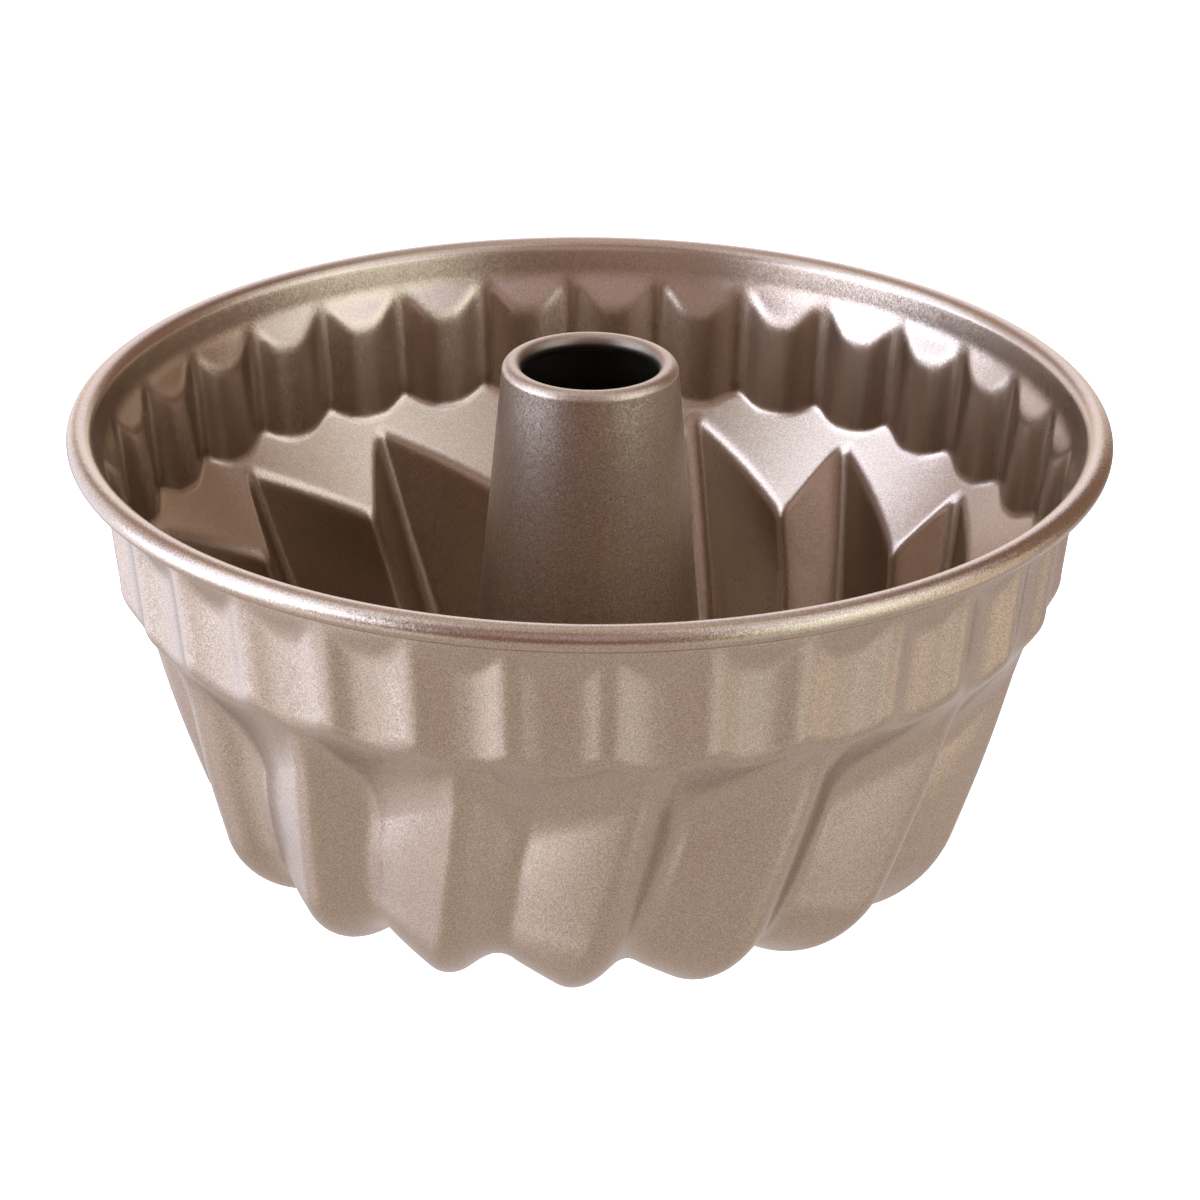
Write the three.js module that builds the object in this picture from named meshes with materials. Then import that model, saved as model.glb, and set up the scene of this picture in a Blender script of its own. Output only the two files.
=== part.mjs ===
// Ring cake tin: a pressed, fluted shell with a wired rim, and a drawn centre tube seamed into its base.
// Millimetres and degrees, +Z up. The origin is on the axis, in the plane that the tin stands on.
import * as THREE from 'three';

// Sheet and rim
const SHEET = 0.6; // thickness of the pressed steel sheet
const RIM_RADIUS = 120; // outside of the rolled rim
const RIM_HEIGHT = 112; // top of the rolled rim
const ROLL_RADIUS = 3.1; // outside of the rolled rim's round section
const ROLL_END = -135; // bearing in the roll's section where its cut edge stops, short of the wall
const WIRE_CLEARANCE = 0.5; // between the wire and the sheet rolled round it

// Ribbed band under the rim
const NECK_DROP = 9; // from the top of the rim down to where the ribs begin
const NECK_STEP = 1.6; // how far the wall comes in below the roll, down to the ribs
const BAND_HEIGHT = 27.2; // from there down to the ledge
const BAND_TAPER = 7.1; // taper of the band from the vertical
const RIB_DEPTH = 2.2; // how far a rib stands in from the grooves beside it
const RIB_SLOPE_DROP = 6.8; // height of a rib's sloping top
const SHORTEST_SLOPE = 0.15; // share of that height that is left in a groove
const RIB_FLANK = 3.15; // bearing from a rib's middle to its flank

// Ledge and twisted flutes
const FLUTES = 16;
const CREST_BEARING = 98.4; // bearing of the first crest at the ledge, counted from +X towards +Y
const LEDGE_ANGLE = 49.7; // slope of the ledge below the horizontal
const CREST_LEDGE = 4.9; // width of the ledge above a crest, seen from above
const CREST_WALL_ANGLE = 16; // taper of a crest from the vertical
const CREST_CORNER = 30; // radius of a crest's turn into the base
const FLUTE_DEPTH = 12.8; // from a crest in to a valley, along the ledge's edge
const VALLEY_WALL_ANGLE = 13.8;
const VALLEY_CORNER = 24;
const VALLEY_BASE = 6.2; // height of a valley's foot and of the land round the tube
const WALL_TWIST = 5.1; // turn of a crest down its straight wall
const CORNER_TWIST = 6.4; // turn of a crest round its corner, to its foot
const SHORT_FACE_TOP = 5; // bearing from a crest to the valley beside its steep face, at the ledge
const SHORT_FACE_FOOT = 6.8; // the same at the foot
const CREST_FLAT = 1.8; // bearing across a crest's narrow flat
const VALLEY_FLAT = 1.5;
const FOOT_LENGTH = 3; // flat at the foot of a crest, which the tin stands on
const LAND_MARGIN = 6; // from the tube's flange out to where the flat land begins to slope

// Centre tube
const TUBE_RISE = 13.1; // top of the tube's rolled lip above the rim
const LIP_RADIUS = 20.36; // outside of the lip
const LIP_ROLL = 2.3; // outside of the lip's round section
const LIP_END = 225; // bearing in the lip's section where its cut edge stops
const TUBE_TAPER = 5.1; // taper of the tube from the vertical
const SEAM_CLEARANCE = 0.3; // between the tube and the land that it grips
const SEAM_BEAD = 1.5; // radius of the bead that sits on the land
const CONE_RISE = 6; // from the bead's foot up to where the straight cone begins
const FLANGE_RADIUS = 36; // outside of the flange turned out under the land

// Facets
const ROLL_STEP = 45;
const CORNER_STEPS = 4;
const BEAD_STEPS = 4;
const LIP_STEPS = 7;
const TUBE_SIDES = 48;
const WIRE_SIDES = 8;
const WIRE_STEPS = 64;

const COATED_STEEL = { color: 0xa08d80, roughness: 0.42, metalness: 0.85 };
const BARE_STEEL = { color: 0x8c8c8a, roughness: 0.35, metalness: 1.0 };

const radians = THREE.MathUtils.degToRad;
const lerp = THREE.MathUtils.lerp;
const tangent = (degrees) => Math.tan(radians(degrees));
const point = (radius, height) => new THREE.Vector2(radius, height);
const midway = (a, b) => a.clone().lerp(b, 0.5);

// Points on an arc in a section, from one bearing to another.
function arc(centre, radius, from, to, steps) {
  const points = [];
  for (let step = 0; step <= steps; step += 1) {
    const bearing = radians(lerp(from, to, step / steps));
    points.push(point(centre.x + radius * Math.cos(bearing), centre.y + radius * Math.sin(bearing)));
  }
  return points;
}

// Section of the rolled rim on the side that meets the wire, from its cut edge to the top of the wall.
const rollCentre = point(RIM_RADIUS - ROLL_RADIUS, RIM_HEIGHT - ROLL_RADIUS);
const rollBore = ROLL_RADIUS - SHEET;
const rollSteps = Math.round((180 - ROLL_END) / ROLL_STEP);
const rollSection = arc(rollCentre, rollBore, ROLL_END, 180, rollSteps);

// The band tapers in a straight line. A rib stands in from that line, and its top slopes back to it.
const bandTop = point(rollCentre.x - rollBore - NECK_STEP, RIM_HEIGHT - NECK_DROP);
const bandRadius = (height) => bandTop.x - (bandTop.y - height) * tangent(BAND_TAPER);
const bandFoot = point(bandRadius(bandTop.y - BAND_HEIGHT), bandTop.y - BAND_HEIGHT);

function bandSection(rib) {
  const depth = RIB_DEPTH * rib;
  const slopeFoot = bandTop.y - RIB_SLOPE_DROP * Math.max(rib, SHORTEST_SLOPE);
  const footDrop = depth / (1 / tangent(LEDGE_ANGLE) - tangent(BAND_TAPER));
  const foot = bandFoot.y - footDrop;
  return [
    bandTop,
    point(bandRadius(slopeFoot) - depth, slopeFoot),
    point(bandRadius(foot) - depth, foot),
  ];
}

// A crest or a valley runs straight down from the ledge, turns into the base and comes in to the land.
function fluteSection(ledge, wallAngle, corner, base) {
  const top = point(bandFoot.x - ledge, bandFoot.y - ledge * tangent(LEDGE_ANGLE));
  const cornerTop = base + corner * (1 - Math.sin(radians(wallAngle)));
  const wallFoot = point(top.x - (top.y - cornerTop) * tangent(wallAngle), cornerTop);
  const cornerCentre = point(wallFoot.x - corner * Math.cos(radians(wallAngle)), base + corner);
  const turn = arc(cornerCentre, corner, -wallAngle, -90, CORNER_STEPS);
  const foot = point(cornerCentre.x - FOOT_LENGTH, base);
  const land = point(FLANGE_RADIUS + LAND_MARGIN, VALLEY_BASE);
  return [top, midway(top, wallFoot), ...turn, foot, midway(foot, land), land];
}

const crest = fluteSection(CREST_LEDGE, CREST_WALL_ANGLE, CREST_CORNER, 0);
const valley = fluteSection(CREST_LEDGE + FLUTE_DEPTH, VALLEY_WALL_ANGLE, VALLEY_CORNER, VALLEY_BASE);

// The flutes turn at one steady rate down a crest's wall, and at another from there on.
const crestPath = [0];
for (let step = 1; step < crest.length; step += 1) {
  crestPath.push(crestPath[step - 1] + crest[step].distanceTo(crest[step - 1]));
}
const wallStep = 2;
const footStep = wallStep + CORNER_STEPS;
const wallPath = crestPath[wallStep];
const cornerPath = crestPath[footStep] - wallPath;
const turns = crestPath.map((length) => ({
  twist: length < wallPath
    ? (-WALL_TWIST * length) / wallPath
    : -WALL_TWIST - (CORNER_TWIST * (length - wallPath)) / cornerPath,
  shortFace: lerp(SHORT_FACE_TOP, SHORT_FACE_FOOT, Math.min(length / crestPath[footStep], 1)),
}));

// Columns across one flute: bearing in the band, share of the way from crest to valley, bearing in the flute.
// Two ribs stand over each flute, with a rib's middle over the crest.
const pitch = 360 / FLUTES;
const ribShare = (bearing) => Math.abs(Math.cos((2 * Math.PI * bearing) / pitch));
const longFaceRibs = [
  pitch / 4,
  pitch / 2 - RIB_FLANK,
  pitch / 2,
  pitch / 2 + RIB_FLANK,
  (3 * pitch) / 4,
];
const longFace = longFaceRibs.map((rib, step) => {
  const share = step / longFaceRibs.length;
  const bearing = (shortFace) => lerp(shortFace + VALLEY_FLAT / 2, pitch - CREST_FLAT / 2, share);
  return { rib, depth: 1 - share, bearing };
});
const fluteColumns = [
  { rib: -RIB_FLANK, depth: 0, bearing: () => -CREST_FLAT / 2 },
  { rib: 0, depth: 0, bearing: () => CREST_FLAT / 2 },
  { rib: RIB_FLANK, depth: 1, bearing: (shortFace) => shortFace - VALLEY_FLAT / 2 },
  ...longFace,
];

// The tube's outer face, from the edge of its flange up to the cut edge of its lip.
const lipCentre = point(LIP_RADIUS - LIP_ROLL, RIM_HEIGHT + TUBE_RISE - LIP_ROLL);
const tubeRadius = (height) => LIP_RADIUS + (lipCentre.y - height) * tangent(TUBE_TAPER);
const landTop = VALLEY_BASE + SHEET;
const neckRadius = tubeRadius(landTop);
const beadFoot = landTop + SEAM_CLEARANCE;
const flangeTop = VALLEY_BASE - SEAM_CLEARANCE;
const coneFoot = beadFoot + CONE_RISE;
const holeRadius = neckRadius + SEAM_CLEARANCE;
const tubeSection = [
  point(FLANGE_RADIUS, flangeTop),
  point(neckRadius, flangeTop),
  ...arc(point(neckRadius, beadFoot + SEAM_BEAD), SEAM_BEAD, -90, 90, BEAD_STEPS),
  point(tubeRadius(coneFoot), coneFoot),
  ...arc(lipCentre, LIP_ROLL, 0, LIP_END, LIP_STEPS),
];

// One column of the shell's outer face, as cylindrical points from the rim's cut edge to the base's hole.
function shellColumn(first, { rib, depth, bearing }) {
  const upper = [...rollSection, ...bandSection(ribShare(rib))];
  const points = upper.map((at) => ({ radius: at.x, height: at.y, bearing: first + rib }));
  crest.forEach((crestPoint, step) => {
    const at = crestPoint.clone().lerp(valley[step], depth);
    const { twist, shortFace } = turns[step];
    points.push({ radius: at.x, height: at.y, bearing: first + bearing(shortFace) + twist });
  });
  points.push({ radius: holeRadius, height: VALLEY_BASE, bearing: points.at(-1).bearing });
  return points;
}

// Two triangles between neighbouring rows and columns, with the rows going down and the columns round.
function patch(a, below, beside, across) {
  return [a, below, beside, below, across, beside];
}

// A closed sheet: the outer face, the same face one thickness further in, and the two cut edges.
function sheetGeometry(columns, thickness) {
  const rows = columns[0].length;
  const count = columns.length;
  const at = (row, column) => row * count + (column % count);
  const positions = [];
  for (let row = 0; row < rows; row += 1) {
    for (const column of columns) {
      const { radius, height, bearing } = column[row];
      positions.push(radius * Math.cos(radians(bearing)), radius * Math.sin(radians(bearing)), height);
    }
  }
  const outerFace = [];
  for (let row = 0; row < rows - 1; row += 1) {
    for (let column = 0; column < count; column += 1) {
      outerFace.push(...patch(
        at(row, column), at(row + 1, column), at(row, column + 1), at(row + 1, column + 1),
      ));
    }
  }
  const face = new THREE.BufferGeometry();
  face.setAttribute('position', new THREE.Float32BufferAttribute(positions, 3));
  face.setIndex(outerFace);
  face.computeVertexNormals();
  const normals = face.getAttribute('normal').array;
  const inner = positions.map((value, index) => value - thickness * normals[index]);

  const offset = rows * count;
  const faces = [...outerFace];
  for (let index = 0; index < outerFace.length; index += 3) {
    const [a, b, c] = outerFace.slice(index, index + 3);
    faces.push(a + offset, c + offset, b + offset);
  }
  for (let column = 0; column < count; column += 1) {
    const rim = [at(0, column), at(0, column + 1)];
    const hole = [at(rows - 1, column), at(rows - 1, column + 1)];
    faces.push(...patch(rim[0], rim[1], rim[0] + offset, rim[1] + offset));
    faces.push(...patch(hole[1], hole[0], hole[1] + offset, hole[0] + offset));
  }
  const solid = new THREE.BufferGeometry();
  solid.setAttribute('position', new THREE.Float32BufferAttribute([...positions, ...inner], 3));
  solid.setIndex(faces);
  solid.computeVertexNormals();
  return solid;
}

// A section's inner side, one thickness to the left of its path, as a closed outline for turning.
function thickened(path, thickness) {
  const inner = path.map((at, index) => {
    const before = path[Math.max(index - 1, 0)];
    const after = path[Math.min(index + 1, path.length - 1)];
    const into = at.clone().sub(before).normalize();
    const out = after.clone().sub(at).normalize();
    const along = into.clone().add(out).normalize();
    const reach = thickness / Math.max(along.dot(into), along.dot(out));
    return point(at.x - reach * along.y, at.y + reach * along.x);
  });
  return [...path, ...inner.reverse(), path[0].clone()];
}

function turned(outline, sides) {
  const geometry = new THREE.LatheGeometry(outline, sides);
  geometry.rotateX(Math.PI / 2);
  return geometry;
}

function part(name, geometry, finish) {
  const mesh = new THREE.Mesh(geometry, new THREE.MeshStandardMaterial(finish));
  mesh.name = name;
  return mesh;
}

const shellColumns = [];
for (let flute = 0; flute < FLUTES; flute += 1) {
  for (const column of fluteColumns) {
    shellColumns.push(shellColumn(CREST_BEARING + flute * pitch, column));
  }
}

const wireRadius = rollBore - WIRE_CLEARANCE;
const wire = new THREE.TorusGeometry(rollCentre.x, wireRadius, WIRE_SIDES, WIRE_STEPS);
wire.translate(0, 0, rollCentre.y);

const tin = new THREE.Group();
tin.add(part('fluted_body', sheetGeometry(shellColumns, SHEET), COATED_STEEL));
tin.add(part('rim_wire', wire, BARE_STEEL));
tin.add(part('centre_tube', turned(thickened(tubeSection, SHEET), TUBE_SIDES), COATED_STEEL));

export default tin;
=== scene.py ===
import math

import bpy
import numpy as np
from mathutils import Matrix, Vector


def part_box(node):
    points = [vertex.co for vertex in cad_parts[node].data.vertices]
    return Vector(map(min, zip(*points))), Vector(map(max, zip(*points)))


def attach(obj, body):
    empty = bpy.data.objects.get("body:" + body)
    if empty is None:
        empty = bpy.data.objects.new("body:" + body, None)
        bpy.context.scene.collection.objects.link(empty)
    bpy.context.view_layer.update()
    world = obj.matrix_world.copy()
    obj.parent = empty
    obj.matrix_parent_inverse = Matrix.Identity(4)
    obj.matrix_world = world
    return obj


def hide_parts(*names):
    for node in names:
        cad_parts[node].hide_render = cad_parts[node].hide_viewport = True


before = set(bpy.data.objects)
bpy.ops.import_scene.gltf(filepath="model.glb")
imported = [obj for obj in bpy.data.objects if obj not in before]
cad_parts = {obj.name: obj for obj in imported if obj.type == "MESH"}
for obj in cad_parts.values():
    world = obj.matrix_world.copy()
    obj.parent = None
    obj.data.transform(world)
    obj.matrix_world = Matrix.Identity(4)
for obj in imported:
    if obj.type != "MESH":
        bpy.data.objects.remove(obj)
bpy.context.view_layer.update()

# Sizes are in millimetres and degrees, as in the part's source, and become metres in the meshes.
MM = 0.001
body_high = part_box("fluted_body")[1]
tube_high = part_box("centre_tube")[1]

# Sheet and rim
SHEET = 0.6
RIM_RADIUS = body_high.x / MM
RIM_HEIGHT = body_high.z / MM
ROLL_RADIUS = 3.1
ROLL_END = -135

# Ribbed band under the rim
NECK_DROP = 9
NECK_STEP = 1.6
NECK_TAPER = 12  # steeper than in the part's source, for the neck's reflections
BAND_HEIGHT = 27.2
BAND_TAPER = 7.1
RIB_DEPTH = 2.2
RIB_SLOPE_DROP = 6.8
RIB_BLEND = 0.7  # rounding of a rib's top, and of the band's bends
GROOVE_SOFTNESS = 0.4  # rounding of a groove, as a share of the rib's depth
RIB_FULLNESS = 1.3  # how blunt a rib is: 1 is a plain wave
FOOT_FILLET = 1.7  # how far the bend from the band to the ledge reaches, inside the tin
OUTER_FOOT_FILLET = 2.8  # the same outside, where the pressing is softer
BAND_CLEARANCE = 2  # how many of those reaches the band's own rows keep above that bend

# Ledge and twisted flutes
FLUTES = 16
CREST_BEARING = 98.4
LEDGE_ANGLE = 49.7
LEDGE_FILLET = 2.4  # how far the bend from the ledge to the flutes reaches, inside the tin
OUTER_LEDGE_FILLET = 10
UPPER_LEDGE_USE = 0.5  # the most of the ledge's length that its upper bend takes up
LEDGE_USE = 0.95  # the most that its two bends take up together
CREST_LEDGE = 4.9
CREST_WALL_ANGLE = 16
CREST_CORNER = 30
CREST_BASE = 0
FLUTE_DEPTH = 12.8
VALLEY_WALL_ANGLE = 13.8
VALLEY_CORNER = 24
VALLEY_BASE = 6.2
WALL_BULGE = 0.5  # how far a flute's wall stands out from a straight line
WALL_TWIST = 5.1
CORNER_TWIST = 6.4
SHORT_FACE_TOP = 5
SHORT_FACE_FOOT = 6.8
CREST_ROUNDING = 0.06  # half of a crest's rounded stretch inside the tin, in shares of a flute
VALLEY_ROUNDING = 0.04
OUTER_CREST_ROUNDING = 0.082
OUTER_VALLEY_ROUNDING = 0.1
BASE_ROUNDING = 0.17  # the same for both on the base
ROUNDING_START = 0.5  # share of the wall's height below which crests and valleys grow rounder
FOOT_LENGTH = 3
LAND_MARGIN = 6

# Centre tube
TUBE_TOP = tube_high.z / MM
LIP_RADIUS = 20.36
LIP_ROLL = 2.3
LIP_END = 225
TUBE_TAPER = 5.1
SEAM_CLEARANCE = 0.3
SEAM_BEAD = 1.5
CONE_RISE = 6
FLANGE_RADIUS = tube_high.x / MM

# Mesh steps
SHORT_FACE_COLUMNS = 16
LONG_FACE_COLUMNS = 32
ROLL_STEPS = 40
BAND_STEPS = 44
STRAIGHT_STEPS = 6
FILLET_STEPS = 7
WALL_STEPS = 26
TURN_STEPS = 18
BASE_STEPS = 12
TUBE_SIDES = 160
ROUNDING_SAMPLES = 9  # points averaged to round a crest or a valley
SHARP_ANGLE = 50  # edges that bend by more than this are shaded sharp

# Camera, found from the rim's ellipse and the heights of the tin in the photograph
CAMERA_AIM = Vector((2.7, 0, 65.2)) * MM
CAMERA_DISTANCE = 1223.1 * MM
CAMERA_ELEVATION = 24.24
CAMERA_ROLL = 0.524
CAMERA_LENS = 157.19

# Coating: the scales of its patterns are in cells to the metre, and the peel's height is in metres
COAT_DARK = np.array((0.306, 0.236, 0.173))
COAT_PALE = np.array((0.497, 0.384, 0.284))
COAT_STOPS = (0.36, 0.64)  # where in the grain's noise the dark and the pale colour lie
GRAIN_SCALE = 3000
GRAIN_DETAIL = 2
GRAIN_ROUGHNESS = 0.6
INNER_GRAIN = 0.55  # strength of grain and flakes on faces turned to the middle: 1 on outer faces
GRAIN_FACING = (-0.4, 0.4)  # how far outwards a face turns while that strength grows
PAINTED_SHADE_FACING = (-0.9, -0.4)  # how far outwards a face turns while the painted shade on faces turned to the middle fades out
WORN_POINTINESS = (0.51, 0.57)
WORN_SHARE = 1.1  # how pale a worn edge is
GLOSS_SCALE = 22
GLOSS_DETAIL = 4
GLOSS_ROUGHNESS = 0.55
PEEL_SCALE = 180
PEEL_DETAIL = 2
PEEL_STRENGTH = 0.3
PEEL_HEIGHT = 0.0001
FLAKE_SCALE = 2600
FLAKE_TILT = 0.08

# Roughness and painted shade of the coating: the least and the most roughness, and the share of its colour
# kept on faces turned to the middle, darkened there as painted shade (1 is none)
SHELL_ROUGHNESS_AND_SHADE = (0.24, 0.30, 1)
TUBE_ROUGHNESS_AND_SHADE = (0.36, 0.42, 0.4)

# Wire
WIRE_DARK = (0.42, 0.42, 0.41)
WIRE_PALE = (0.6, 0.6, 0.58)
WIRE_SCALE = 900
WIRE_DETAIL = 2
WIRE_ROUGHNESS = (0.25, 0.45)

# Light table, and the dark spot on it under the tin: their sizes are in metres
TABLE_RADIUS = 4
TABLE_GLOW = 1.1
SPOT_RADIUS = 0.058
SPOT_RISE = 0.0001
TABLE_DARK = (0.90, 0.90, 0.90)
TABLE_PALE = (0.93, 0.93, 0.93)
TABLE_SCALE = 3
TABLE_ROUGHNESS = 0.9
TABLE_STEP = 5  # bearing between the corners of their outlines
SOFT_STOPS = (0.3, 0.7)  # where in the noise of the wire and the table their two colours lie

# Studio light: azimuth from +X towards +Y, elevation, the angles of a light's core and edge, and its colour
AMBIENT = (0.40, 0.26, 0.21)
STUDIO_LIGHTS = [
    (0, -90, 58, 74, (0.42, 0.50, 0.56)),  # the table
    (192, 22, 10, 34, (1.43, 1.70, 2.74)),  # left, above the rim
    (182, -8, 8, 30, (2.55, 3.38, 4.61)),  # left
    (210, 8, 8, 26, (2.72, 3.21, 4.31)),  # left, towards the camera
    (188, 46, 10, 34, (1.12, 1.46, 1.87)),  # left, high up
    (180, -34, 10, 34, (0.42, 0.44, 0.61)),  # left, off the table
    (214, -33, 8, 24, (0.55, 0.65, 0.83)),  # left, off the table and towards the camera
    (145, -5, 12, 40, (1.31, 1.53, 2.03)),  # left, behind
    (322, 0, 8, 30, (1.51, 1.90, 1.90)),  # right, towards the camera
    (320, 28, 8, 26, (1.08, 1.26, 1.78)),  # right, towards the camera and above
    (326, 54, 8, 26, (0.78, 0.99, 1.14)),  # right, high up
    (356, 40, 8, 24, (0.62, 0.73, 0.86)),  # right, above
    (346, 20, 8, 20, (1.07, 1.27, 1.50)),  # right, above the rim
    (0, -12, 8, 30, (0.86, 0.91, 0.86)),  # right
    (318, -35, 8, 26, (0.32, 0.40, 0.46)),  # right, off the table
    (270, 30, 10, 30, (0.37, 0.37, 0.50)),  # front
    (92, 6, 10, 36, (1.12, 1.16, 1.16)),  # behind
    (90, 32, 8, 24, (0.58, 0.69, 1.10)),  # behind, above
    (135, 42, 10, 28, (0.32, 0.29, 0.31)),  # behind, above and to the left
    (90, 62, 8, 26, (0.40, 0.44, 0.51)),  # behind, high up
    (0, 90, 10, 36, (0.47, 0.51, 0.60)),  # overhead
]


def tangent(degrees):
    return math.tan(math.radians(degrees))


def smooth_min(a, b, blend):
    share = np.clip(0.5 + 0.5 * (b - a) / blend, 0, 1)
    return b + (a - b) * share - blend * share * (1 - share)


def smooth_max(a, b, blend):
    return -smooth_min(-a, -b, blend)


def arc(centre, radius, start, end, steps):
    """Points on an arc in a section, as rows of radius and height."""
    bearing = np.radians(np.linspace(start, end, steps + 1))
    return np.stack([centre[0] + radius * np.cos(bearing), centre[1] + radius * np.sin(bearing)], 1)


# Section of the rim and the band. The neck leaves the roll in line with its end.
roll_centre = np.array([RIM_RADIUS - ROLL_RADIUS, RIM_HEIGHT - ROLL_RADIUS])
roll_bore = ROLL_RADIUS - SHEET
neck_top = np.array([roll_centre[0] - roll_bore / math.cos(math.radians(NECK_TAPER)), roll_centre[1]])
band_top = np.array([roll_centre[0] - roll_bore - NECK_STEP, RIM_HEIGHT - NECK_DROP])


def band_radius(height):
    return band_top[0] - (band_top[1] - height) * tangent(BAND_TAPER)


band_foot = np.array([band_radius(band_top[1] - BAND_HEIGHT), band_top[1] - BAND_HEIGHT])

# Columns across one flute: 0 on a crest, 1 in the valley beside its short face, up to 2 on the next crest
pitch = 360 / FLUTES
columns = np.concatenate([
    np.linspace(0, 1, SHORT_FACE_COLUMNS, endpoint=False),
    np.linspace(1, 2, LONG_FACE_COLUMNS, endpoint=False),
])


def column_places(short_face):
    """Where each column stands, in shares of a flute from its crest, for these widths of the short face."""
    valley = short_face / pitch
    return np.where(columns < 1, columns * valley, valley + (columns - 1) * (1 - valley))


def rib_share():
    """How far in each column stands: 0 in a groove, 1 on a rib. There are two ribs to a flute."""
    wave = np.cos(2 * np.pi * column_places(SHORT_FACE_TOP))
    softened = np.sqrt(wave**2 + GROOVE_SOFTNESS**2)
    share = (softened - GROOVE_SOFTNESS) / (softened.max() - GROOVE_SOFTNESS)
    return 1 - (1 - share) ** RIB_FULLNESS


def flute_wave(short_face, crest_rounding, valley_rounding):
    """A sawtooth that is lowest on a crest and highest in a valley, with both rounded, row by row."""
    valley = short_face / pitch
    places = column_places(short_face)
    nearness = np.where(columns < 1, columns, 2 - columns)
    rounding = crest_rounding + nearness * (valley_rounding - crest_rounding)
    total = 0
    for offset in np.linspace(-1, 1, ROUNDING_SAMPLES):
        at = (places + offset * rounding) % 1
        total = total + np.where(at < valley, at / valley, (1 - at) / (1 - valley))
    return total


def band_rows(heights):
    """Neck and ribbed band at these heights, as rows of columns of radius and height."""
    height = heights[:, None]
    neck = neck_top[0] - (neck_top[1] - height) * tangent(NECK_TAPER)
    wall = smooth_max(neck, band_radius(height), RIB_BLEND)
    slope = (band_top[1] - height) * RIB_DEPTH / RIB_SLOPE_DROP
    rib = smooth_max(smooth_min(slope, RIB_DEPTH * rib_share(), RIB_BLEND), 0 * slope, RIB_BLEND)
    radius = wall - rib
    return np.stack([radius, np.broadcast_to(height, radius.shape)], 2)


def band_feet():
    """Where the band meets the ledge in each column."""
    depth = RIB_DEPTH * rib_share()
    drop = depth / (1 / tangent(LEDGE_ANGLE) - tangent(BAND_TAPER))
    height = band_foot[1] - drop
    return np.stack([band_radius(height) - depth, height], 1)


def flute_section(ledge, wall_angle, corner, base, fillet):
    """A crest or a valley from the ledge's edge in to the land: its top, then the rest by steps."""
    top = np.array([band_foot[0] - ledge, band_foot[1] - ledge * tangent(LEDGE_ANGLE)])
    corner_top = base + corner * (1 - math.sin(math.radians(wall_angle)))
    wall_foot = np.array([top[0] - (top[1] - corner_top) * tangent(wall_angle), corner_top])
    first = fillet / np.linalg.norm(wall_foot - top)
    share = np.linspace(first, 1, WALL_STEPS)[:, None]
    wall = top + share * (wall_foot - top)
    wall[:, 0] += WALL_BULGE * np.sin(np.pi * (share[:, 0] - first) / (1 - first))
    corner_centre = np.array([wall_foot[0] - corner * math.cos(math.radians(wall_angle)), base + corner])
    turn = arc(corner_centre, corner, -wall_angle, -90, TURN_STEPS)[1:]
    foot = np.array([corner_centre[0] - FOOT_LENGTH, base])
    land = np.array([FLANGE_RADIUS + LAND_MARGIN, VALLEY_BASE])
    share = np.linspace(0, 1, BASE_STEPS)
    eased = share**2 * (3 - 2 * share)
    rise = np.stack([foot[0] + share * (land[0] - foot[0]), foot[1] + eased * (land[1] - foot[1])], 1)
    return top, np.concatenate([wall, turn, rise])


def flute_rows(fillet, crest_rounding, valley_rounding):
    """Flutes from the ledge in to the land: their edge on the ledge, then rows and the bearings in each."""
    crest_top, crest = flute_section(CREST_LEDGE, CREST_WALL_ANGLE, CREST_CORNER, CREST_BASE, fillet)
    valley_top, valley = flute_section(
        CREST_LEDGE + FLUTE_DEPTH, VALLEY_WALL_ANGLE, VALLEY_CORNER, VALLEY_BASE, fillet)
    path = fillet + np.concatenate([[0], np.cumsum(np.linalg.norm(np.diff(crest, axis=0), axis=1))])
    wall_path = path[WALL_STEPS - 1]
    foot_path = path[WALL_STEPS + TURN_STEPS - 1]
    corner_rate = CORNER_TWIST / (foot_path - wall_path)
    twist = -np.where(
        path < wall_path, WALL_TWIST * path / wall_path, WALL_TWIST + corner_rate * (path - wall_path))
    along = np.clip(path / foot_path, 0, 1)[:, None]
    short_face = SHORT_FACE_TOP + along * (SHORT_FACE_FOOT - SHORT_FACE_TOP)
    start = ROUNDING_START * wall_path
    lower = np.clip((path - start) / (foot_path - start), 0, 1)[:, None]

    def grown(rounding):
        return rounding + lower * (BASE_ROUNDING - rounding)

    # The crisp wave, as inside the tin, sets how far in and out the softer one reaches.
    crisp = flute_wave(short_face, grown(CREST_ROUNDING), grown(VALLEY_ROUNDING))
    wave = flute_wave(short_face, grown(crest_rounding), grown(valley_rounding))
    low = crisp.min(1, keepdims=True)
    high = crisp.max(1, keepdims=True)
    share = (wave - low) / (high - low)
    edge = crest_top + share[0][:, None] * (valley_top - crest_top)
    flute = crest[:, None] + share[:, :, None] * (valley - crest)[:, None]
    turned = pitch * column_places(short_face) + twist[:, None]
    return edge, flute, turned


def tube_radius(height):
    return LIP_RADIUS + (TUBE_TOP - LIP_ROLL - height) * tangent(TUBE_TAPER)


def bend(before, at, after, reach_before, reach_after):
    """A rounded bend in every column, as a curve that leaves and meets the straight lines."""
    into = (before - at) / np.linalg.norm(before - at, axis=1, keepdims=True)
    out = (after - at) / np.linalg.norm(after - at, axis=1, keepdims=True)
    start = at + into * reach_before
    end = at + out * reach_after
    share = np.linspace(0, 1, FILLET_STEPS + 1)[:, None, None]
    return (1 - share) ** 2 * start + 2 * share * (1 - share) * at + share**2 * end


def straight(start, end, steps):
    """Rows between two rows of columns, without the two."""
    share = (np.arange(1, steps) / steps)[:, None, None]
    return start + share * (end - start)


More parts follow.
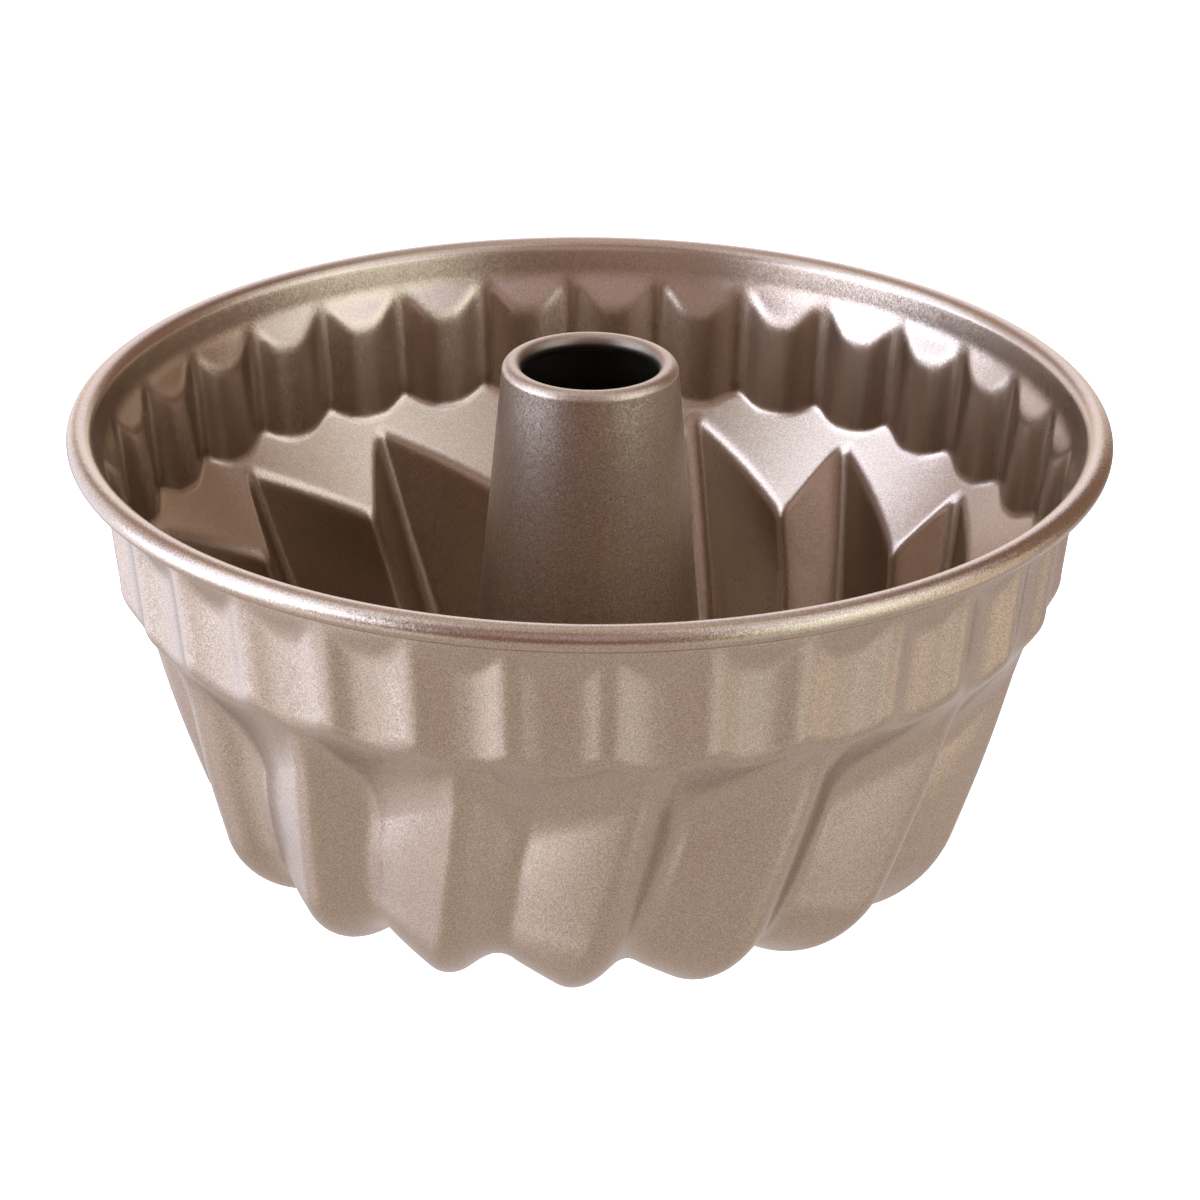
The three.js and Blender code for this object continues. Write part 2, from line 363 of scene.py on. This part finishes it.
def shell_rows(foot_fillet, fillet, crest_rounding, valley_rounding):
    """One flute's width of the shell's outer face: radius and height, and the bearings in each row."""
    roll = arc(roll_centre, roll_bore, ROLL_END, 180 - NECK_TAPER, ROLL_STEPS)
    roll = np.repeat(roll[:, None], len(columns), 1)
    foot = band_feet()
    band_low = foot[:, 1].max() + BAND_CLEARANCE * foot_fillet
    band = band_rows(np.linspace(roll[-1, 0, 1], band_low, BAND_STEPS)[1:])
    edge, flute, turned = flute_rows(fillet, crest_rounding, valley_rounding)

    ledge_length = np.linalg.norm(edge - foot, axis=1, keepdims=True)
    upper_reach = np.minimum(foot_fillet, UPPER_LEDGE_USE * ledge_length)
    lower_reach = np.minimum(fillet, LEDGE_USE * ledge_length - upper_reach)
    flute_reach = np.linalg.norm(flute[0] - edge, axis=1, keepdims=True)
    foot_bend = bend(band[-1], foot, edge, foot_fillet, upper_reach)
    ledge_bend = bend(foot, edge, flute[0], lower_reach, flute_reach)
    hole_radius = tube_radius(VALLEY_BASE + SHEET) + SEAM_CLEARANCE
    hole = np.full((1, len(columns), 2), [hole_radius, VALLEY_BASE])

    level = pitch * column_places(SHORT_FACE_TOP)[None]
    onset = np.linspace(0, 1, FILLET_STEPS + 1)[:, None]
    parts = [
        (roll, level),
        (band, level),
        (straight(band[-1], foot_bend[0], STRAIGHT_STEPS), level),
        (foot_bend, level),
        (straight(foot_bend[-1], ledge_bend[0], STRAIGHT_STEPS), level),
        (ledge_bend, level + onset * (turned[:1] - level)),
        (flute[1:], turned[1:]),
        (straight(flute[-1], hole[0], STRAIGHT_STEPS), turned[-1:]),
        (hole, turned[-1:]),
    ]
    rows = np.concatenate([points for points, _ in parts])
    bearings = np.concatenate([np.broadcast_to(at, points.shape[:2]) for points, at in parts])
    return rows, bearings


def mesh_object(name, vertices, faces):
    mesh = bpy.data.meshes.new(name)
    mesh.from_pydata((vertices * MM).tolist(), [], faces.tolist())
    mesh.shade_smooth()
    mesh.set_sharp_from_angle(angle=math.radians(SHARP_ANGLE))
    made = bpy.data.objects.new(name, mesh)
    bpy.context.scene.collection.objects.link(made)
    return made


def quads(upper, lower):
    """Faces between two rings of vertex numbers, the upper one to the left going round."""
    corners = [upper, lower, np.roll(lower, -1, -1), np.roll(upper, -1, -1)]
    return np.stack(corners, -1).reshape(-1, 4)


def shell_face(*softness):
    """All round the shell's outer face: rows of points."""
    rows, bearings = shell_rows(*softness)
    first = CREST_BEARING + pitch * np.repeat(np.arange(FLUTES), len(columns))
    bearing = np.radians(first + np.tile(bearings, (1, FLUTES)))
    rows = np.tile(rows, (1, FLUTES, 1))
    radius, height = rows[:, :, 0], rows[:, :, 1]
    return np.stack([radius * np.cos(bearing), radius * np.sin(bearing), height], 2)


def make_shell():
    """The pressed sheet: a soft outer face, and an inner face set in from a crisper one."""
    outer = shell_face(OUTER_FOOT_FILLET, OUTER_LEDGE_FILLET, OUTER_CREST_ROUNDING, OUTER_VALLEY_ROUNDING)
    crisp = shell_face(FOOT_FILLET, LEDGE_FILLET, CREST_ROUNDING, VALLEY_ROUNDING)
    down = np.gradient(crisp, axis=0)
    around = np.roll(crisp, -1, 1) - np.roll(crisp, 1, 1)
    normal = np.cross(down, around)
    normal /= np.linalg.norm(normal, axis=2, keepdims=True)
    inner = crisp - SHEET * normal
    number = np.arange(outer[:, :, 0].size).reshape(outer.shape[:2])
    count = number.size
    faces = np.concatenate([
        quads(number[:-1], number[1:]),
        quads(number[1:] + count, number[:-1] + count),
        quads(number[0] + count, number[0]),
        quads(number[-1], number[-1] + count),
    ])
    return mesh_object("tin_shell", np.concatenate([outer.reshape(-1, 3), inner.reshape(-1, 3)]), faces)


def thickened(path):
    """A section's two sides as one closed outline: the path, and back one thickness to its left."""
    step = np.diff(path, axis=0)
    step /= np.linalg.norm(step, axis=1, keepdims=True)
    into = np.concatenate([step[:1], step])
    out = np.concatenate([step, step[-1:]])
    along = into + out
    along /= np.linalg.norm(along, axis=1, keepdims=True)
    reach = SHEET / np.sum(along * into, axis=1, keepdims=True)
    left = path + reach * np.stack([-along[:, 1], along[:, 0]], 1)
    return np.concatenate([path, left[::-1]])


def make_tube():
    """The turned tube: its flange under the land, its bead on the land, its cone and its rolled lip."""
    lip_centre = np.array([LIP_RADIUS - LIP_ROLL, TUBE_TOP - LIP_ROLL])
    land_top = VALLEY_BASE + SHEET
    neck = tube_radius(land_top)
    bead_foot = land_top + SEAM_CLEARANCE
    flange_top = VALLEY_BASE - SEAM_CLEARANCE
    cone_foot = bead_foot + CONE_RISE
    cone_start = np.array([[tube_radius(cone_foot), cone_foot]])
    cone_end = np.array([[LIP_RADIUS, lip_centre[1]]])
    path = np.concatenate([
        [[FLANGE_RADIUS, flange_top], [neck, flange_top]],
        arc((neck, bead_foot + SEAM_BEAD), SEAM_BEAD, -90, 90, FILLET_STEPS),
        straight(cone_start, cone_end, WALL_STEPS)[:, 0],
        arc(lip_centre, LIP_ROLL, 0, LIP_END, ROLL_STEPS),
    ])
    outline = thickened(path)
    bearing = np.radians(np.linspace(0, 360, TUBE_SIDES, endpoint=False))
    radius, height = outline[:, :1], outline[:, 1:]
    vertices = np.stack([radius * np.cos(bearing), radius * np.sin(bearing), height + 0 * bearing], 2)
    number = np.arange(radius.size * TUBE_SIDES).reshape(-1, TUBE_SIDES)
    faces = quads(np.roll(number, -1, 0), number)
    return mesh_object("tube", vertices.reshape(-1, 3), faces)


def feed(tree, socket, value):
    """Sets an input, or links it where the value is another node's output."""
    if isinstance(value, bpy.types.NodeSocket):
        tree.links.new(value, socket)
    else:
        socket.default_value = value


def add(tree, kind, **inputs):
    """A shader node with its inputs fed by name."""
    made = tree.nodes.new(kind)
    for name, value in inputs.items():
        feed(tree, made.inputs[name.replace("_", " ")], value)
    return made


def vector_math(tree, operation, *values):
    """What comes from one step of vector arithmetic."""
    made = tree.nodes.new("ShaderNodeVectorMath")
    made.operation = operation
    sockets = [socket for socket in made.inputs if socket.enabled]
    for socket, value in zip(sockets, values):
        feed(tree, socket, value)
    return made.outputs["Value" if operation == "DOT_PRODUCT" else "Vector"]


def map_range(tree, value, from_range, to_range):
    """A value moved from one range to another, and held at the ends."""
    made = add(
        tree, "ShaderNodeMapRange", Value=value,
        From_Min=from_range[0], From_Max=from_range[1], To_Min=to_range[0], To_Max=to_range[1])
    return made.outputs["Result"]


def ramp(tree, factor, positions, colours):
    """A colour that runs from the first to the last of these as the factor grows."""
    made = add(tree, "ShaderNodeValToRGB", Fac=factor)
    for element, position, colour in zip(made.color_ramp.elements, positions, colours):
        element.position = position
        element.color = (*colour, 1)
    return made.outputs["Color"]


def new_material(name):
    material = bpy.data.materials.new(name)
    material.use_nodes = True
    tree = material.node_tree
    shader = tree.nodes["Principled BSDF"]
    place = tree.nodes.new("ShaderNodeTexCoord").outputs["Object"]
    return material, tree, shader, place


def grain_colour(tree, place, strength):
    """The coating's fine grain of two colours, fainter where its strength is low."""
    grain = add(
        tree, "ShaderNodeTexNoise", Vector=place,
        Scale=GRAIN_SCALE, Detail=GRAIN_DETAIL, Roughness=GRAIN_ROUGHNESS)
    middle = tuple((COAT_DARK + COAT_PALE) / 2)
    colour = ramp(tree, grain.outputs["Fac"], COAT_STOPS, (COAT_DARK, COAT_PALE))
    colour = vector_math(tree, "SCALE", vector_math(tree, "SUBTRACT", colour, middle), strength)
    return vector_math(tree, "ADD", colour, middle)


def flaked_normal(tree, place, strength):
    """The coating's normal: a faint orange peel, and flakes that each tilt their own way."""
    peel = add(tree, "ShaderNodeTexNoise", Vector=place, Scale=PEEL_SCALE, Detail=PEEL_DETAIL)
    bump = add(
        tree, "ShaderNodeBump", Height=peel.outputs["Fac"], Strength=PEEL_STRENGTH, Distance=PEEL_HEIGHT)
    flakes = add(tree, "ShaderNodeTexVoronoi", Vector=place, Scale=FLAKE_SCALE)
    # A flake's random colour, moved to lie evenly about zero, is its tilt.
    tilt = vector_math(tree, "SUBTRACT", flakes.outputs["Color"], (0.5, 0.5, 0.5))
    tilt = vector_math(tree, "SCALE", vector_math(tree, "SCALE", tilt, FLAKE_TILT), strength)
    return vector_math(tree, "NORMALIZE", vector_math(tree, "ADD", bump.outputs["Normal"], tilt))


def coated_steel(name, finest, coarsest, painted_shade_share):
    """Satin champagne coating: flakes, a fine grain, slow changes of gloss, paler where edges wear it, and
    painted shade that darkens faces turned to the middle.
    """
    material, tree, shader, place = new_material(name)
    geometry = tree.nodes.new("ShaderNodeNewGeometry").outputs
    outwards = vector_math(tree, "NORMALIZE", vector_math(tree, "MULTIPLY", place, (1, 1, 0)))
    facing = vector_math(tree, "DOT_PRODUCT", geometry["Normal"], outwards)
    strength = map_range(tree, facing, GRAIN_FACING, (INNER_GRAIN, 1))
    wear = map_range(tree, geometry["Pointiness"], WORN_POINTINESS, (1, WORN_SHARE))
    # Painted shade: faces turned to the middle, such as the tube's bore, keep only this share of their
    # colour.
    painted_shade = map_range(tree, facing, PAINTED_SHADE_FACING, (painted_shade_share, 1))
    colour = grain_colour(tree, place, strength)
    colour = vector_math(tree, "SCALE", colour, wear)
    colour = vector_math(tree, "SCALE", colour, painted_shade)
    tree.links.new(colour, shader.inputs["Base Color"])
    slow = add(
        tree, "ShaderNodeTexNoise", Vector=place,
        Scale=GLOSS_SCALE, Detail=GLOSS_DETAIL, Roughness=GLOSS_ROUGHNESS)
    gloss = map_range(tree, slow.outputs["Fac"], (0, 1), (finest, coarsest))
    tree.links.new(gloss, shader.inputs["Roughness"])
    tree.links.new(flaked_normal(tree, place, strength), shader.inputs["Normal"])
    shader.inputs["Metallic"].default_value = 1
    return material


def wire_steel():
    """Plain drawn wire: fine streaks and a slight darkening."""
    material, tree, shader, place = new_material("wire_steel")
    streaks = add(tree, "ShaderNodeTexNoise", Vector=place, Scale=WIRE_SCALE, Detail=WIRE_DETAIL)
    colour = ramp(tree, streaks.outputs["Fac"], SOFT_STOPS, (WIRE_DARK, WIRE_PALE))
    tree.links.new(colour, shader.inputs["Base Color"])
    gloss = map_range(tree, streaks.outputs["Fac"], (0, 1), WIRE_ROUGHNESS)
    tree.links.new(gloss, shader.inputs["Roughness"])
    shader.inputs["Metallic"].default_value = 1
    return material


def make_floor(name, radius, brightness):
    """A round pale sheet of a light table."""
    bearing = np.radians(np.arange(0, 360, TABLE_STEP))
    ring = np.stack([radius * np.cos(bearing), radius * np.sin(bearing), 0 * bearing], 1)
    mesh = bpy.data.meshes.new(name)
    mesh.from_pydata(ring.tolist(), [], [list(range(len(ring)))])
    floor = bpy.data.objects.new(name, mesh)
    bpy.context.scene.collection.objects.link(floor)
    material, tree, shader, place = new_material(name)
    mottle = add(tree, "ShaderNodeTexNoise", Vector=place, Scale=TABLE_SCALE)
    colour = ramp(tree, mottle.outputs["Fac"], SOFT_STOPS, (TABLE_DARK, TABLE_PALE))
    tree.links.new(colour, shader.inputs["Base Color"])
    tree.links.new(colour, shader.inputs["Emission Color"])
    shader.inputs["Emission Strength"].default_value = brightness
    shader.inputs["Roughness"].default_value = TABLE_ROUGHNESS
    shader.inputs["Specular IOR Level"].default_value = 0
    mesh.materials.append(material)
    return floor


def studio_light(tree, direction, light):
    """One soft light on the studio's walls: bright in its core and fading out to its edge."""
    azimuth, elevation, core, edge, colour = light
    azimuth, elevation = math.radians(azimuth), math.radians(elevation)
    flat = math.cos(elevation)
    towards = (flat * math.cos(azimuth), flat * math.sin(azimuth), math.sin(elevation))
    nearness = vector_math(tree, "DOT_PRODUCT", direction, towards)
    share = add(
        tree, "ShaderNodeMapRange", Value=nearness,
        From_Min=math.cos(math.radians(edge)), From_Max=math.cos(math.radians(core)))
    share.interpolation_type = "SMOOTHSTEP"
    return vector_math(tree, "SCALE", colour, share.outputs["Result"])


def make_world(ambient, lights):
    """A studio tent: an even light all round, and soft lights on its walls."""
    world = bpy.data.worlds.new("studio")
    world.use_nodes = True
    tree = world.node_tree
    direction = tree.nodes.new("ShaderNodeTexCoord").outputs["Generated"]
    total = ambient
    for light in lights:
        total = vector_math(tree, "ADD", total, studio_light(tree, direction, light))
    background = tree.nodes["Background"]
    feed(tree, background.inputs["Color"], total)
    background.inputs["Strength"].default_value = 1
    bpy.context.scene.world = world


def make_camera():
    elevation, roll = math.radians(CAMERA_ELEVATION), math.radians(CAMERA_ROLL)
    back = Vector((0, -math.cos(elevation), math.sin(elevation)))
    upright = (-back).to_track_quat("-Z", "Y").to_matrix().to_4x4()
    data = bpy.data.cameras.new("camera")
    data.lens = CAMERA_LENS
    camera = bpy.data.objects.new("camera", data)
    place = Matrix.Translation(CAMERA_AIM + back * CAMERA_DISTANCE)
    camera.matrix_world = place @ upright @ Matrix.Rotation(roll, 4, "Z")
    bpy.context.scene.collection.objects.link(camera)
    bpy.context.scene.camera = camera


make_camera()
pieces = [
    # The tube's coating darkens its faces turned to the middle as painted shade; the shell's coating does
    # not.
    (make_shell(), "fluted_body", coated_steel("coated_steel", *SHELL_ROUGHNESS_AND_SHADE)),
    (make_tube(), "centre_tube", coated_steel("coated_tube", *TUBE_ROUGHNESS_AND_SHADE)),
]
for piece, node, coating in pieces:
    piece.data.materials.append(coating)
    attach(piece, "root")
    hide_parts(node)
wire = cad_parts["rim_wire"]
wire.data.materials.clear()
wire.data.materials.append(wire_steel())

# The tin's gloss doesn't see the glowing table. It sees a dark spot under the tin, which the camera doesn't.
table = make_floor("table", TABLE_RADIUS, TABLE_GLOW)
table.visible_glossy = False
spot = make_floor("table_under_tin", SPOT_RADIUS, 0)
spot.location.z = SPOT_RISE
spot.visible_camera = False
make_world(AMBIENT, STUDIO_LIGHTS)
bpy.context.scene.view_settings.view_transform = "Standard"
